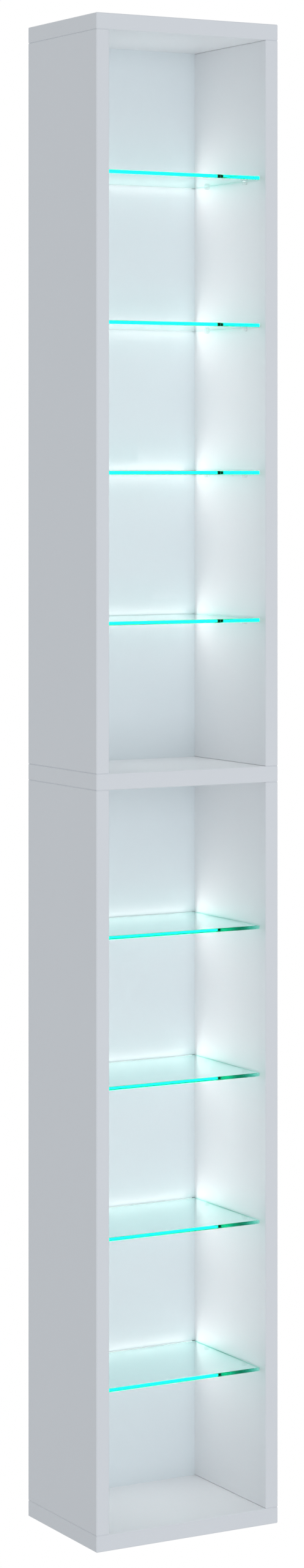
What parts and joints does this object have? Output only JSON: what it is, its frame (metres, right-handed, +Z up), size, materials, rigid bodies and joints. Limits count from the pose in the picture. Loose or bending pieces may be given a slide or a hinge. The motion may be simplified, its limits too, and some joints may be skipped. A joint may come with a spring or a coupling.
{
  "type": "hanging wall shelf",
  "caption": "Tall narrow wall-hung shelf of white board in stacked sections, with removable glass shelves lit along their rear edges.",
  "frame": {"origin": "centre of the rectangle of the wall hangers' keyholes, in the wall plane", "axes": "+Z up, +Y into the wall that the shelf hangs on, +X to the right seen from the front"},
  "size_m": [0.232, 0.162, 1.682],
  "materials": {
    "white_board": "white lacquered board, satin",
    "white_back": "white coated hardboard, satin",
    "glass": "clear float glass with polished edges",
    "clear_plastic": "clear, polished",
    "strip_tape": "white coated tape",
    "light_chip": "clear resin, lit",
    "strip_cover": "opal, lit",
    "black_plastic": "matt moulded",
    "zinc_steel": "zinc plated",
    "beech": "plain beech",
    "white_plastic": "smooth moulded"
  },
  "bodies": {
    "case": {"top_panel": "white_board", "middle_panel": "white_board", "bottom_panel": "white_board", "upper_left_side": "white_board", "upper_right_side": "white_board", "upper_back_panel": "white_back", "lower_left_side": "white_board", "lower_right_side": "white_board", "lower_back_panel": "white_back", "led_tape_1": "strip_tape", "led_chips_1": "light_chip", "led_cover_1": "strip_cover", "led_tape_2": "strip_tape", "led_chips_2": "light_chip", "led_cover_2": "strip_cover", "led_tape_3": "strip_tape", "led_chips_3": "light_chip", "led_cover_3": "strip_cover", "led_tape_4": "strip_tape", "led_chips_4": "light_chip", "led_cover_4": "strip_cover", "led_tape_5": "strip_tape", "led_chips_5": "light_chip", "led_cover_5": "strip_cover", "led_tape_6": "strip_tape", "led_chips_6": "light_chip", "led_cover_6": "strip_cover", "led_tape_7": "strip_tape", "led_chips_7": "light_chip", "led_cover_7": "strip_cover", "led_tape_8": "strip_tape", "led_chips_8": "light_chip", "led_cover_8": "strip_cover", "led_end_caps": "black_plastic", "shelf_pins": "clear_plastic", "dowels": "beech", "long_dowels": "beech", "connecting_screws": "zinc_steel", "screw_caps": "white_plastic", "hanger_plates": "zinc_steel", "hanger_screws": "zinc_steel", "joining_plates": "zinc_steel", "joining_screws": "zinc_steel", "back_panel_nails": "zinc_steel"},
    "shelf_1": {"glass_shelf_1": "glass"},
    "shelf_2": {"glass_shelf_2": "glass"},
    "shelf_3": {"glass_shelf_3": "glass"},
    "shelf_4": {"glass_shelf_4": "glass"},
    "shelf_5": {"glass_shelf_5": "glass"},
    "shelf_6": {"glass_shelf_6": "glass"},
    "shelf_7": {"glass_shelf_7": "glass"},
    "shelf_8": {"glass_shelf_8": "glass"}
  },
  "joints": [
    {"name": "shelf_1_draw", "type": "slide", "parent": "case", "child": "shelf_1", "axis": [0, -1, 0], "range_m": [0, 0.16]},
    {"name": "shelf_2_draw", "type": "slide", "parent": "case", "child": "shelf_2", "axis": [0, -1, 0], "range_m": [0, 0.16]},
    {"name": "shelf_3_draw", "type": "slide", "parent": "case", "child": "shelf_3", "axis": [0, -1, 0], "range_m": [0, 0.16]},
    {"name": "shelf_4_draw", "type": "slide", "parent": "case", "child": "shelf_4", "axis": [0, -1, 0], "range_m": [0, 0.16]},
    {"name": "shelf_5_draw", "type": "slide", "parent": "case", "child": "shelf_5", "axis": [0, -1, 0], "range_m": [0, 0.16]},
    {"name": "shelf_6_draw", "type": "slide", "parent": "case", "child": "shelf_6", "axis": [0, -1, 0], "range_m": [0, 0.16]},
    {"name": "shelf_7_draw", "type": "slide", "parent": "case", "child": "shelf_7", "axis": [0, -1, 0], "range_m": [0, 0.16]},
    {"name": "shelf_8_draw", "type": "slide", "parent": "case", "child": "shelf_8", "axis": [0, -1, 0], "range_m": [0, 0.16]}
  ]
}
